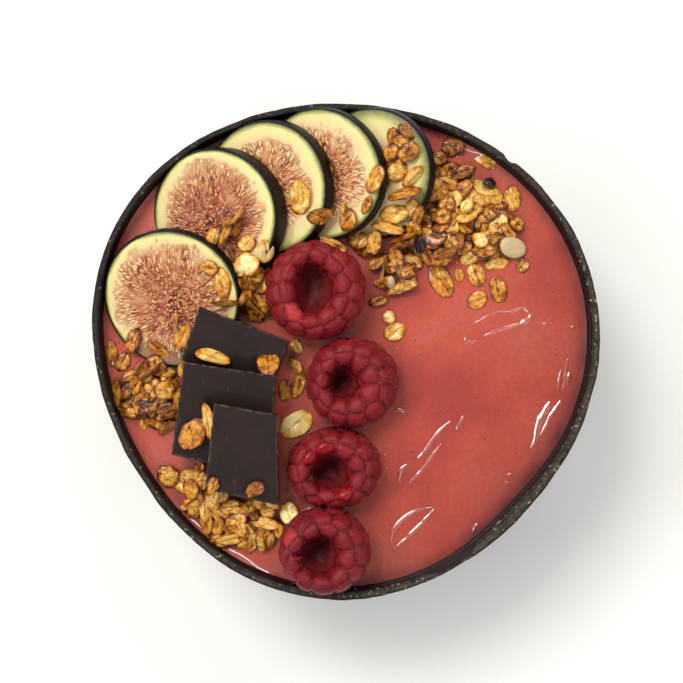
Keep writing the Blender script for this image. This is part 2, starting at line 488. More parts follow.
class Piece:
    """Points, faces and shading values of bodies that become one mesh."""

    def __init__(self):
        self.points = []
        self.faces = []
        self.looks = []
        self.values = {}
        self.count = 0

    def add(self, rings, tips, look=0, **values):
        """A body through rings of points, closed by the tips that aren't None.

        The look is one number, or a list with one for each band; the values
        are what its shader reads.
        """
        rings = np.asarray(rings)
        rows, count = rings.shape[:2]
        points = [rings.reshape(-1, 3)]
        step = np.arange(count)
        after = (step + 1) % count
        bands = look if isinstance(look, list) else [look] * (rows - 1)
        for row in range(rows - 1):
            low = self.count + row * count
            quads = np.stack([low + step, low + after, low + count + after, low + count + step], 1)
            self.faces += quads.tolist()
            self.looks += [bands[row]] * count
        number = self.count + rows * count
        for tip, row, band in ((tips[0], 0, bands[0]), (tips[1], rows - 1, bands[-1])):
            if tip is None:
                continue
            low = self.count + row * count
            fan = np.stack([low + step, low + after, np.full(count, number)], 1)
            self.faces += (fan if row else fan[:, [1, 0, 2]]).tolist()
            self.looks += [band] * count
            points.append(np.asarray(tip, float).reshape(1, 3))
            number += 1
        for name, value in values.items():
            grid = np.broadcast_to(value, (rows, count))
            ends = [[grid[row].mean()] for tip, row in zip(tips, (0, -1)) if tip is not None]
            self.values.setdefault(name, []).append(np.concatenate([grid.ravel()] + ends))
        self.points += points
        self.count = number

    def make(self, name, materials, slot, *nodes):
        """The mesh object, which rides on the bowl's body and stands for the nodes."""
        mesh = bpy.data.meshes.new(name)
        mesh.from_pydata((np.concatenate(self.points) * MM).tolist(), [], self.faces)
        for material in materials:
            mesh.materials.append(material)
        mesh.polygons.foreach_set("material_index", self.looks)
        for value, parts in self.values.items():
            layer = mesh.attributes.new(value, "FLOAT", "POINT")
            layer.data.foreach_set("value", np.concatenate(parts).astype(np.float32))
        mesh.validate()
        mesh.shade_smooth()
        piece = new_object(name, mesh)
        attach(piece, "root")
        if nodes:
            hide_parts(*nodes)
        return piece


def ellipsoid(piece, place, axes, rows, count, **values):
    """A rounded body; axes are the columns of its three half lengths."""
    lift = np.linspace(-np.pi / 2, np.pi / 2, rows + 2)[1:-1]
    angle = around(count)
    flat = np.cos(lift)[:, None]
    ball = np.stack([flat * np.cos(angle), flat * np.sin(angle),
                     np.broadcast_to(np.sin(lift)[:, None], (rows, count))], -1)
    turn = np.array([tuple(axis) for axis in axes])
    middle = np.array(tuple(place))
    piece.add(ball @ turn + middle, (middle - turn[2], middle + turn[2]), **values)


# Materials

MIX_FIRST, MIX_SECOND, MIX_RESULT = 6, 7, 2      # the sockets for colours of a Mix node


def tint(red, green, blue):
    """A screen colour of 0..255 as the linear colour that a shader takes."""
    shares = [value / 255.0 for value in (red, green, blue)]
    return tuple(v / 12.92 if v <= 0.04045 else ((v + 0.055) / 1.055) ** 2.4 for v in shares)


class Look:
    """One material, built by short calls; sizes are in millimetres."""

    def __init__(self, name, **values):
        self.material = bpy.data.materials.new(name)
        self.material.use_nodes = True
        self.nodes = self.material.node_tree.nodes
        self.links = self.material.node_tree.links
        self.shader = self.nodes["Principled BSDF"]
        self.place = self.nodes.new("ShaderNodeTexCoord").outputs["Object"]
        for key, value in values.items():
            self.feed(self.shader.inputs[key.replace("_", " ").title().replace("Ior", "IOR")], value)

    def feed(self, socket, value):
        if isinstance(value, bpy.types.NodeSocket):
            self.links.new(value, socket)
        elif socket.type == "RGBA":
            socket.default_value = (*value, 1.0)
        else:
            socket.default_value = value

    def add(self, kind, **values):
        """A new node; the values go to its inputs by name."""
        node = self.nodes.new("ShaderNode" + kind)
        for name, value in values.items():
            self.feed(node.inputs[name], value)
        return node

    def colour(self, value):
        self.feed(self.shader.inputs["Base Color"], value)

    def moved(self, shift, stretch=(1.0, 1.0, 1.0)):
        """The piece's own coordinates, stretched, and shifted to another part of a pattern."""
        mapping = self.add("Mapping", Vector=self.place, Location=(shift, shift, shift),
                           Scale=[1.0 / part for part in stretch])
        return mapping.outputs["Vector"]

    def noise(self, size, detail=3.0, stretch=(1.0, 1.0, 1.0), shift=0.0, warp=0.0):
        texture = self.add("TexNoise", Vector=self.moved(shift, stretch), Scale=1.0 / (size * MM),
                           Detail=detail, Distortion=warp)
        return texture.outputs["Fac"]

    def cells(self, size):
        return self.add("TexVoronoi", Vector=self.place, Scale=1.0 / (size * MM)).outputs["Distance"]

    def value(self, name):
        """A shading value of the mesh."""
        attribute = self.add("Attribute")
        attribute.attribute_name = name
        return attribute.outputs["Fac"]

    def ramp(self, factor, *stops):
        """Colours, or plain numbers, at positions of the factor."""
        ramp = self.add("ValToRGB", Fac=factor)
        elements = ramp.color_ramp.elements
        while len(elements) < len(stops):
            elements.new(0.5)
        for element, (position, colour) in zip(elements, stops):
            element.position = position
            element.color = (*colour, 1.0) if isinstance(colour, tuple) else (colour, colour, colour, 1.0)
        return ramp.outputs["Color"]

    def fade(self, factor, start, end, first=0.0, last=1.0):
        """The first number up to the start, and the last one from the end on."""
        return self.ramp(factor, (start, first), (end, last))

    def mix(self, factor, first, second):
        mix = self.add("Mix", Factor=factor)
        mix.data_type = "RGBA"
        self.feed(mix.inputs[MIX_FIRST], first)
        self.feed(mix.inputs[MIX_SECOND], second)
        return mix.outputs[MIX_RESULT]

    def combined(self, operation, first, second):
        node = self.add("Math")
        node.operation = operation
        self.feed(node.inputs[0], first)
        self.feed(node.inputs[1], second)
        return node.outputs["Value"]

    def times(self, first, second):
        return self.combined("MULTIPLY", first, second)

    def plus(self, first, second):
        return self.combined("ADD", first, second)

    def bump(self, height, depth, over=None):
        bump = self.add("Bump", Height=height, Distance=depth * MM)
        if over is not None:
            self.feed(bump.inputs["Normal"], over)
        self.feed(self.shader.inputs["Normal"], bump.outputs["Normal"])
        return bump.outputs["Normal"]


def shell_outside():
    look = Look("shell_outside", roughness=0.34, coat_weight=0.35, coat_roughness=0.2)
    fibre = look.noise(2.2, 6.0, (1.0, 1.0, 7.0), warp=0.4)
    base = look.ramp(fibre, (0.3, tint(26, 19, 15)), (0.55, tint(52, 38, 28)), (0.72, tint(92, 68, 46)))
    patch = look.fade(look.noise(26.0, 3.0), 0.35, 0.7)
    darker = look.mix(patch, base, look.mix(0.6, base, tint(24, 18, 15)))
    fleck = look.fade(look.noise(0.9, 2.0, (1.0, 1.0, 4.0), shift=0.4), 0.68, 0.74)
    look.colour(look.mix(fleck, darker, tint(150, 120, 84)))
    look.bump(fibre, 0.12)
    return look.material


def shell_rim():
    """The sawn edge: grey brown, beige flecks, darker along both of its sides and in the chip."""
    look = Look("shell_rim", roughness=0.6, specular_ior_level=0.22)
    speckle = look.noise(1.3, 5.0)
    dark = look.ramp(speckle, (0.3, tint(18, 14, 12)), (0.7, tint(46, 36, 30)))
    pale = look.ramp(speckle, (0.3, tint(30, 27, 22)), (0.7, tint(84, 76, 62)))
    grain = look.mix(look.value("grey"), dark, pale)
    side = look.ramp(look.value("across"), (0.0, 1.0), (0.14, 0.25), (0.3, 0.0), (0.62, 0.0), (0.74, 0.85),
                     (0.86, 0.25), (1.0, 0.9))
    banded = look.mix(side, grain, tint(11, 9, 8))
    fleck = look.fade(look.noise(1.0, 4.0, shift=0.7), 0.62, 0.70)
    shown = look.times(fleck, look.fade(look.value("grey"), 0.0, 1.0, 0.25, 0.8))
    flecked = look.mix(shown, banded, tint(186, 174, 144))
    broken = look.value("broken")
    inside = look.ramp(broken, (0.4, tint(8, 6, 6)), (1.0, tint(32, 22, 21)))
    look.colour(look.mix(look.fade(broken, 0.0, 0.4), flecked, inside))
    look.bump(look.noise(0.6, 4.0), 0.08)
    return look.material


def shell_inside():
    look = Look("shell_inside", roughness=0.6, specular_ior_level=0.12)
    look.colour(look.ramp(look.noise(2.5, 4.0), (0.3, tint(12, 8, 8)), (0.7, tint(36, 18, 18))))
    look.bump(look.noise(1.2, 4.0), 0.06)
    return look.material


def smoothie_look():
    look = Look("smoothie", roughness=0.3, coat_weight=1.0, coat_roughness=0.03, coat_ior=1.75,
                subsurface_weight=0.25, subsurface_scale=0.0015, subsurface_radius=(1.0, 0.35, 0.25))
    broad = look.ramp(look.noise(26.0, 3.0, shift=0.9), (0.35, tint(179, 72, 61)), (0.5, tint(203, 90, 69)),
                      (0.65, tint(200, 100, 85)))
    fine = look.fade(look.noise(0.9, 5.0), 0.35, 0.75)
    base = look.mix(look.times(fine, 0.38), broad, tint(150, 48, 42))
    seeds = look.fade(look.cells(2.2), 0.07, 0.15, 1.0, 0.0)
    strength = look.fade(look.noise(3.4, 1.0, shift=0.3), 0.5, 0.62)
    specks = look.times(look.times(seeds, strength), 0.8)
    specked = look.mix(specks, base, tint(96, 22, 24))
    juicy = look.mix(look.times(look.value("wine"), 0.7), specked, tint(124, 28, 26))
    shaded = look.mix(look.times(look.value("wall"), 0.85), juicy, tint(72, 28, 34))
    look.colour(look.mix(look.times(look.value("syrup"), 0.6), shaded, tint(122, 52, 34)))
    look.bump(look.noise(0.7, 3.0), 0.012)
    return look.material


def fig_look():
    """Zones by share of the radius: pulp, pale flesh, green rim, dark skin."""
    look = Look("fig", roughness=0.42, subsurface_weight=0.15, subsurface_scale=0.001,
                subsurface_radius=(1.0, 0.7, 0.35))
    zone = look.value("zone")
    flesh = look.ramp(zone, (0.24, tint(226, 184, 138)), (0.34, tint(230, 202, 144)),
                      (0.52, tint(229, 214, 147)), (0.63, tint(218, 212, 134)), (0.70, tint(152, 158, 84)),
                      (0.76, tint(78, 80, 42)), (0.81, tint(30, 28, 22)), (0.88, tint(16, 13, 14)))
    mottled = look.mix(look.fade(look.noise(1.6, 4.0), 0.4, 0.75, 0.0, 0.25), flesh, tint(206, 184, 118))
    heart = look.ramp(look.value("strand"), (0.1, tint(98, 34, 26)), (0.5, tint(172, 98, 60)),
                      (0.9, tint(224, 170, 114)))
    pulp = look.mix(look.value("redness"), heart, look.mix(0.5, heart, tint(120, 38, 38)))
    inside = look.fade(zone, 0.20, 0.29)
    dark = look.fade(zone, 0.76, 0.82)
    face = look.mix(inside, pulp, look.mix(dark, mottled, flesh))
    wet = look.times(look.value("wet"), look.fade(zone, 0.66, 0.74, 0.8, 0.0))
    look.colour(look.mix(wet, face, tint(126, 66, 52)))
    look.feed(look.shader.inputs["Specular IOR Level"], look.fade(zone, 0.70, 0.80, 0.5, 0.15))
    look.bump(look.noise(0.5, 3.0), 0.05)
    return look.material


def fig_seed_look():
    look = Look("fig_seed", roughness=0.3, coat_weight=0.3, coat_roughness=0.15,
                subsurface_weight=0.25, subsurface_scale=0.0008)
    look.colour(look.ramp(look.value("tone"), (0.0, tint(134, 54, 42)), (0.35, tint(188, 110, 70)),
                          (0.7, tint(222, 166, 108)), (1.0, tint(240, 212, 158))))
    return look.material


def raspberry_look():
    look = Look("raspberry", specular_ior_level=0.25, subsurface_weight=0.3, subsurface_scale=0.0015,
                subsurface_radius=(1.0, 0.2, 0.2))
    grain = look.noise(0.7, 5.0)
    tone = look.value("tone")
    skin = look.ramp(tone, (0.0, tint(122, 42, 44)), (0.2, tint(98, 18, 26)), (0.35, tint(102, 12, 22)),
                     (0.7, tint(142, 24, 32)), (1.0, tint(182, 48, 50)))
    broad = look.fade(look.noise(5.0, 2.0), 0.35, 0.7, 0.0, 0.4)
    varied = look.mix(broad, skin, tint(118, 16, 30))
    dusted = look.times(look.fade(grain, 0.45, 0.8, 0.0, 0.6), tone)
    bloom = look.mix(dusted, varied, tint(170, 68, 80))
    wet = look.value("wet")
    look.colour(look.mix(wet, bloom, tint(134, 12, 20)))
    look.feed(look.shader.inputs["Roughness"], look.fade(wet, 0.0, 1.0, 0.52, 0.12))
    look.bump(grain, 0.12)
    return look.material


def hair_look():
    return Look("raspberry_hair", roughness=0.6, base_color=tint(172, 100, 98)).material


def chocolate_look():
    look = Look("chocolate", roughness=0.42, specular_ior_level=0.25)
    broad = look.ramp(look.noise(9.0, 3.0), (0.3, tint(34, 24, 21)), (0.7, tint(43, 32, 28)))
    dust = look.fade(look.noise(0.35, 3.0), 0.66, 0.78)
    dusty = look.mix(look.times(dust, 0.25), broad, tint(120, 104, 92))
    scratch = look.fade(look.noise(0.25, 2.0, (1.0, 16.0, 4.0), shift=0.2), 0.70, 0.76)
    scratched = look.mix(look.times(scratch, 0.35), dusty, tint(132, 112, 94))
    edge = look.times(look.value("edge"), look.fade(look.noise(1.6, 3.0), 0.42, 0.7, 0.0, 0.5))
    look.colour(look.mix(edge, scratched, tint(136, 116, 98)))
    look.bump(look.noise(0.6, 5.0), 0.03)
    return look.material


def oat_look():
    """Toasted flakes: fibres along each, golden to brown blotches, darker creases."""
    look = Look("oat", roughness=0.38, coat_weight=0.6, coat_roughness=0.09, specular_ior_level=0.3,
                subsurface_weight=0.10, subsurface_scale=0.0006, subsurface_radius=(1.0, 0.6, 0.3))
    own = look.add("CombineXYZ", X=look.times(look.value("along"), 2.0),
                   Y=look.times(look.value("across"), 6.0), Z=look.value("mark"))
    fibre = look.add("TexNoise", Vector=own.outputs["Vector"], Scale=1.0, Detail=4.0).outputs["Fac"]
    blotch = look.fade(look.noise(2.2, 3.0, warp=0.6), 0.35, 0.7)
    roast = look.plus(look.times(look.plus(blotch, -0.5), 0.30), look.times(look.value("tone"), 0.62))
    veined = look.plus(roast, look.times(look.plus(fibre, -0.5), 0.30))
    shade = look.plus(veined, look.times(look.value("crease"), 0.45))
    skin = look.ramp(shade, (0.0, tint(252, 232, 164)), (0.20, tint(244, 194, 92)),
                     (0.40, tint(218, 144, 40)), (0.62, tint(148, 78, 18)), (0.86, tint(58, 24, 6)))
    crack = look.ramp(fibre, (0.46, 0.0), (0.49, 1.0), (0.51, 1.0), (0.54, 0.0))
    deep = look.fade(look.noise(1.5, 2.0, shift=0.5), 0.40, 0.62, 0.25, 0.95)
    toasted = look.fade(look.value("tone"), 0.0, 0.35, 0.25, 1.0)
    strength = look.times(look.times(crack, deep), toasted)
    cracked = look.mix(strength, skin, tint(72, 30, 7))
    kind = look.value("kind")
    other = look.ramp(kind, (0.5, tint(206, 184, 136)), (0.9, tint(34, 12, 20)))
    look.colour(look.mix(look.fade(kind, 0.0, 0.4), cracked, other))
    look.bump(fibre, 0.32, look.bump(look.noise(0.4, 4.0), 0.10))
    return look.material


def crumb_look():
    look = Look("oat_bed", roughness=0.5, coat_weight=0.4, coat_roughness=0.2)
    grain = look.noise(1.0, 5.0)
    look.colour(look.ramp(grain, (0.3, tint(84, 46, 22)), (0.5, tint(140, 86, 40)),
                          (0.7, tint(190, 130, 66))))
    look.bump(grain, 0.3)
    return look.material


def floor_look():
    look = Look("floor", roughness=0.7, specular_ior_level=0.2)
    look.colour(look.ramp(look.noise(300.0, 2.0), (0.3, (0.90, 0.895, 0.87)), (0.7, (0.92, 0.92, 0.90))))
    return look.material


# Pieces

def make_bowl():
    angle = around(SHELL_STEPS)
    uneven = sum(size * noise_round(angle, waves, seed) for size, waves, seed in RIM_UNEVEN)
    nick = NOTCH_DEPTH * np.exp(-(turned(angle, NOTCH_SIDE) / NOTCH_SPREAD) ** 4)
    drop = rim_drop(angle)
    chip_start = 1.0 - CHIP_BITE * drop / CHIP_DEPTH
    grey = 0.5 + 0.5 * np.cos(np.radians(turned(angle, RIM_LIGHT_SIDE)))
    rings, bands, across, broken = [], [], [], []

    def ring(radius, height, share, look):
        rings.append(ring_points(radius, angle, height))
        across.append(np.full(SHELL_STEPS, share))
        broken.append(np.clip((share - chip_start) / CHIP_BORDER, 0.0, 1.0))
        bands.append(look)

    for height in RIM_HEIGHT * (1.0 - np.linspace(1.0, 0.05, OUTSIDE_ROWS)):
        fade = np.clip((height - UNEVEN_FROM) / UNEVEN_RISE, 0.0, 1.0)
        fibres = FIBRE_RISE * noise_round(angle, 60, 5, height / 14.0)
        ring(outer_radius(angle, height) + fade * uneven - fade * nick + fibres, height, 0.0, OUTSIDE)
    outer = outer_radius(angle, RIM_HEIGHT) + uneven - nick
    size, waves, seed = INNER_UNEVEN
    inner = inner_radius(angle, RIM_HEIGHT) + size * noise_round(angle, waves, seed)
    flaked = FLAKED_OFF * np.maximum(0.0, noise_round(angle, 22, 9, 5.0))
    ring(outer - 0.02, RIM_HEIGHT - RIM_ROUND, 0.0, TOP)
    for share in np.linspace(0.0, 1.0, RIM_ROWS):
        radius = (outer - RIM_ROUND * 0.7) * (1 - share) + (inner + RIM_ROUND * 0.5) * share
        fallen = np.clip((share - chip_start) / np.maximum(1.0 - chip_start, 0.05), 0.0, 1.0)
        height = RIM_HEIGHT - 0.12 - drop * fallen ** 0.8 - flaked * share ** 3
        ring(radius, height + 0.03 * noise_round(angle, 70, 6, share * 3), share, TOP)
    ring(inner + 0.06, RIM_HEIGHT - RIM_ROUND - drop - flaked, 1.0, INSIDE)
    for height in INSIDE_HEIGHTS:
        lowered = np.minimum(height, RIM_HEIGHT - RIM_ROUND - drop - 0.3)
        ring(inner_radius(angle, height), lowered, 1.0, INSIDE)
    piece = Piece()
    piece.add(rings, ((0.0, 0.0, 0.0), (0.0, 0.0, FLOOR_HEIGHT)), bands[:-1], across=np.array(across),
              broken=np.array(broken), grey=np.tile(grey, (len(rings), 1)))
    piece.make("bowl_shell", [shell_outside(), shell_rim(), shell_inside()], "coconut_shell", "bowl")


def smoothie_height(x, y):
    """The smoothie's surface: slow waves and swells."""
    height = LEVEL
    for rise, size, seed in WAVES:
        height = height + rise * soft_noise(x, y, 0.0, size, seed)
    for middle_x, middle_y, length, width, heading, rise in SWELLS:
        along, across = seen_from(x, y, middle_x, middle_y, heading)
        height = height + rise * np.exp(-(along / length) ** 2 - (across / width) ** 2)
    return height


def stains(x, y):
    """How stained the smoothie is with berry juice, by the shell's wall, and with syrup."""
    x, y = np.asarray(x, float), np.asarray(y, float)
    angle = np.arctan2(y, x)
    from_wall = np.maximum(inner_radius(angle, LEVEL) - np.hypot(x, y), 0.0)
    shady = np.exp(-(turned(angle, SHADY_SIDE) / SHADY_SPREAD) ** 2)
    wall = (WALL_STAIN[0] + WALL_STAIN[1] * shady) * np.exp(-(from_wall / (1.0 + shady)) ** WALL_FALL)
    wall = wall + WALL_SHADE * shady * np.exp(-(from_wall / WALL_SHADE_REACH) ** WALL_FALL)
    wall = wall * (0.95 + 0.25 * soft_noise(x, y, 0.0, 3.4, 18))
    wine = np.zeros(x.shape)
    for berry in RASPBERRIES:
        away = np.maximum(0.0, berry_reach(x, y, berry) - 1.0) * berry[3] / 2
        wine = wine + JUICE * np.exp(-away / JUICE_REACH)
    syrup = np.zeros(x.shape)
    for rows in HEAPS.values():
        for middle_x, middle_y, length, width, heading, _ in rows:
            along, across = seen_from(x, y, middle_x, middle_y, heading)
            reach = np.hypot(along / (length + SYRUP_MARGIN), across / (width + SYRUP_MARGIN))
            syrup = np.maximum(syrup, np.clip((1.15 - reach) / 0.3, 0.0, 1.0))
    syrup = syrup * np.clip(0.6 + 0.8 * soft_noise(x, y, 0.0, 4.0, 17), 0.0, 1.0)
    redder = (x * REDDER_WAY[0] + y * REDDER_WAY[1] - REDDER_FROM) / REDDER_RISE
    wine = wine + REDDER * np.clip(redder, 0.0, 1.0)
    return {"wine": np.clip(wine, 0.0, 1.0), "wall": np.clip(wall, 0.0, 1.0), "syrup": syrup}


def curve_through(points, spacing):
    """Evenly spaced places on a smooth curve through the points."""
    points = np.array(points, float)
    steps = np.concatenate([[0.0], np.cumsum(np.linalg.norm(np.diff(points, axis=0), axis=1))])
    line = np.linspace(0.0, steps[-1], max(6, int(steps[-1] / spacing)))
    slopes = np.gradient(points, steps, axis=0)
    index = np.clip(np.searchsorted(steps, line, side="right") - 1, 0, len(steps) - 2)
    span = (steps[index + 1] - steps[index])[:, None]
    share = ((line - steps[index])[:, None]) / span
    return (points[index] * (1 + 2 * share) * (1 - share) ** 2
            + slopes[index] * span * share * (1 - share) ** 2
            + points[index + 1] * share ** 2 * (3 - 2 * share)
            - slopes[index + 1] * span * share ** 2 * (1 - share))


def add_ridge(piece, half_width, points, seed):
    """A low smooth ridge, half sunk in the surface, that catches the light."""
    line = curve_through(points, RIDGE_SPACING)
    ahead = np.gradient(line, axis=0)
    ahead /= np.linalg.norm(ahead, axis=1)[:, None]
    share = np.linspace(0.0, 1.0, len(line))
    taper = np.sin(np.pi * np.clip(share, 0.04, 0.96)) ** 0.4
    width = half_width * taper * (1.0 + 0.3 * soft_noise(line[:, 0], line[:, 1], 0.0, 1.6, seed))
    angle = around(RIDGE_SIDES)
    side = width[:, None] * np.cos(angle)
    x = line[:, :1] - ahead[:, 1:] * side
    y = line[:, 1:] + ahead[:, :1] * side
    lift = RIDGE_STEEPNESS * width[:, None] * np.sin(angle) ** 3
    rings = np.stack([x, y, smoothie_height(x, y) + lift], -1)
    piece.add(rings, end_middles(rings), **stains(x, y))


def add_bubbles(piece):
    """Small domes of froth round the toppings."""
    draw = random.Random(77)
    by_mound, by_berry = BUBBLE_MARGINS
    spots = [(x, y, length + by_mound, width + by_mound)
             for rows in HEAPS.values() for x, y, length, width, _, _ in rows]
    spots += [(x, y, width / 2 + by_berry, depth / 2 + by_berry)
              for x, y, _, width, depth, _ in RASPBERRIES]
    for _ in range(BUBBLES):
        middle_x, middle_y, length, width = draw.choice(spots)
        way = draw.uniform(0.0, 2.0 * math.pi)
        reach = draw.uniform(*BUBBLE_PLACES)
        x = middle_x + reach * length * math.cos(way)
        y = middle_y + reach * width * math.sin(way)
        size = draw.uniform(*BUBBLE_SIZES)
        if math.hypot(x, y) > inner_radius(math.atan2(y, x), LEVEL) - 1.5:
            continue
        axes = ((size, 0, 0), (0, size, 0), (0, 0, size * 0.7))
        ellipsoid(piece, (x, y, float(smoothie_height(x, y))), axes, 5, 10, **stains(x, y))


def make_smoothie():
    angle = around(SHELL_STEPS)
    wall = inner_radius(angle, LEVEL) - WALL_GAP
    rings = []
    uneven = 1.0 + 0.3 * noise_round(angle, 14, 14)
    bank = sum(size * np.exp(-(turned(angle, way) / spread) ** 2) for way, spread, size in BANKS)
    for height in SUNKEN_HEIGHTS:
        rings.append(ring_points(inner_radius(angle, height) - GAP, angle, height + GAP))
    for share in 1.0 - np.linspace(0.0, 1.0, SURFACE_ROWS) ** SURFACE_CROWDING * 0.995:
        x, y = wall * share * np.cos(angle), wall * share * np.sin(angle)
        from_wall = wall * (1.0 - share)
        height = smoothie_height(x, y) + MENISCUS_RISE * np.exp(-from_wall / MENISCUS_REACH) \
            + bank * uneven * np.maximum(0.0, 1.0 - from_wall / BANK_REACH) ** 1.5
        for berry in RASPBERRIES:
            away = np.maximum(0.0, berry_reach(x, y, berry) - CLIMB_FROM)
            height = height + CLIMB * np.exp(-away / CLIMB_FALL)
        rings.append(np.stack([x, y, height], -1))
    rings = np.array(rings)
    piece = Piece()
    piece.add(rings, ((0.0, 0.0, 5.5), rings[-1].mean(0)), **stains(rings[:, :, 0], rings[:, :, 1]))
    for number, (half_width, *points) in enumerate(RIDGES):
        add_ridge(piece, RIDGE_WIDENING * half_width, points, 200 + number)
    add_bubbles(piece)
    piece.make("smoothie_surface", [smoothie_look()], "smoothie", "smoothie")


def fig_face(number, share, angle, radius):
    """Relief, zone and strand values of a slice's face at shares of its radius."""
    hollow = FIG_REDNESS[number] > RED_PULP
    heart_x, heart_y = FIG_HEARTS[number]
    x = share * radius * np.cos(angle)
    y = share * radius * np.sin(angle)
    edge = FIG_PULP[number] * (1.0 + 0.10 * soft_noise(x, y, 0.0, 5.0, 31 + number)
                               + 0.05 * soft_noise(x, y, 0.0, 1.4, 41 + number))
    way = np.arctan2(y - heart_y, x - heart_x) + 0.10 * soft_noise(x, y, 0.0, 3.0, 51 + number)
    distance = np.hypot(x - heart_x, y - heart_y)
    radial = noise_round(way, 11, 61 + number, distance / 3.2)
    grains = soft_noise(x, y, 0.0, 0.85, 71 + number)
    inner = np.clip(1.4 - distance / (0.42 * radius), 0.0, 1.0)
    strand = 0.5 + 0.5 * (radial * (1.0 - inner) + grains * inner)
    depth = np.clip((edge - share) / 0.06, 0.0, 1.0)
    relief = depth * (0.55 * strand - 0.45 - 0.5 * np.exp(-(distance / 3.0) ** 2) * hollow)
    strand = strand - 0.3 * np.exp(-(distance / 4.0) ** 2)
    outward = np.where(share < edge, PULP_ZONE * share / edge,
                       PULP_ZONE + FLESH_ZONES * (share - edge) / (SKIN_FROM - edge))
    skin = np.clip((share - SKIN_FROM) / SKIN_SHARE, 0.0, 1.0)
    zone = outward * (1.0 - skin) + (SKIN_ZONE + SKIN_ZONES * skin) * skin
    return relief, zone, strand


def make_fig(number, materials):
    x, y, z, radius, thickness, tilt, heading = FIG_SLICES[number]
    draw = random.Random(number + 1)
    place = leaning(x, y, z, tilt, heading)
    angle = around(FIG_STEPS)
    phases = [draw.uniform(0.0, 2.0 * math.pi) for _ in FIG_WOBBLE]
    wobble = 1.0 + sum(size * np.cos(count * angle + phase)
                       for (count, size), phase in zip(FIG_WOBBLE, phases))
    rings, zones, strands = [], [], []
    for share in FIG_SHARES:
        relief, zone, strand = fig_face(number, np.full(FIG_STEPS, share), angle, radius)
        lip = 0.3 * max(0.0, (share - 0.93) / 0.07) ** 2
        rings.append(ring_points(share * radius * wobble, angle, relief - lip))
        zones.append(zone)
        strands.append(strand)
    ridges = 0.06 * noise_round(angle, 14, 81)
    for grow, height in ((0.12, -0.7), (0.24, -0.5 * thickness), (FIG_FLARE, -thickness + 0.9),
                         (FIG_FLARE - 0.3, -thickness + 0.25), (FIG_FLARE - 0.9, -thickness),
                         (-0.5 * radius, -thickness)):
        rings.append(ring_points(radius * wobble + grow + ridges, angle, height))
        zones.append(np.full(FIG_STEPS, 1.0))
        strands.append(np.full(FIG_STEPS, 0.5))
    piece = Piece()
    rings = placed(np.array(rings), place)
    tips = placed(np.array([[0.0, 0.0, -0.3], [0.0, 0.0, -thickness]]), place)
    wet = soft_noise(rings[:, :, 0], rings[:, :, 1], 0.0, 2.2, 83) - rings[:, :, 1] + FIG_SYRUP
    piece.add(rings, tips, zone=np.array(zones), strand=np.array(strands), redness=FIG_REDNESS[number],
              tone=0.0, wet=np.clip(wet / 2.0, 0.0, 1.0))
    add_fig_seeds(piece, number, place, radius, draw)
    piece.make(f"fig_{number + 1}", materials, "fig", f"fig_slice_{number + 1}")


def add_fig_seeds(piece, number, place, radius, draw):
    """Rows of pulp strands that point to the heart, shorter and rounder towards it."""
    reach = FIG_PULP[number] * radius
    heart_x, heart_y = FIG_HEARTS[number]
    spin = place.to_3x3()
    share = 0.06
    while share < 1.0:
        outside = share > LONG_STRANDS
        for index in range(int(2.0 * math.pi * share * reach / STRAND_SPACING)):
            way = (index + draw.uniform(-0.4, 0.4)) * STRAND_SPACING / (share * reach)
            here = share + draw.uniform(-0.05, 0.05)
            x = heart_x * (1.0 - here) + here * reach * math.cos(way)
            y = heart_y * (1.0 - here) + here * reach * math.sin(way)
            inward = Vector((heart_x - x, heart_y - y, 0.0)).normalized()
            forward = Matrix.Rotation(draw.gauss(0.0, 0.16 if outside else 0.5), 3, "Z") @ inward
            sideways = Vector((-forward.y, forward.x, 0.0))
            long = draw.uniform(0.75, 1.25) if outside else draw.uniform(0.38, 0.62)
            wide = draw.uniform(0.22, 0.36) if outside else draw.uniform(0.28, 0.42)
            tip = Vector((0.0, 0.0, draw.uniform(-0.15, 0.15)))
            axes = (spin @ ((forward + tip) * long), spin @ (sideways * wide),
                    spin @ Vector((0.0, 0.0, 0.8 * wide)))
            tone = 0.56 + 1.2 * max(0.0, share - 0.62) + draw.gauss(0.0, 0.18) - 0.3 * FIG_REDNESS[number]
            ellipsoid(piece, place @ Vector((x, y, draw.uniform(-0.28, -0.10))), axes, 3, 6, look=1,
                      zone=0.1, strand=0.5, redness=0.0, wet=0.0, tone=limit(tone, 0.0, 1.0))
        share += (1.15 if outside else 0.85) / reach


def berry_profile():
    """The outline of a berry's cut, from the hollow's floor over the crown to the underside."""
    rows = np.array(BERRY_OUTLINE)
    steps = np.concatenate([[0.0], np.cumsum(np.hypot(np.diff(rows[:, 0]) * 8.0, np.diff(rows[:, 1])))])
    line = np.linspace(0.0, steps[-1], BERRY_ROWS)
    return np.interp(line, steps, rows[:, 0]), np.interp(line, steps, rows[:, 1])


def berry_spot(number, share, angle):
    """From the hollow's edge at 0 to the widest outline at 1, on the plan."""
    _, _, _, width, depth, _ = RASPBERRIES[number]
    hollow_x, hollow_y, half_w, half_d = HOLLOWS[number]
    lobe = 1.0 + 0.06 * np.cos(3 * angle + number)
    out_x = 0.5 * (width - DRUPELET_SWELL) * np.cos(angle)
    out_y = 0.5 * (depth - DRUPELET_SWELL) * np.sin(angle)
    in_x = hollow_x + half_w * lobe * np.cos(angle)
    in_y = hollow_y + half_d * lobe * np.sin(angle)
    return in_x * (1.0 - share) + out_x * share, in_y * (1.0 - share) + out_y * share


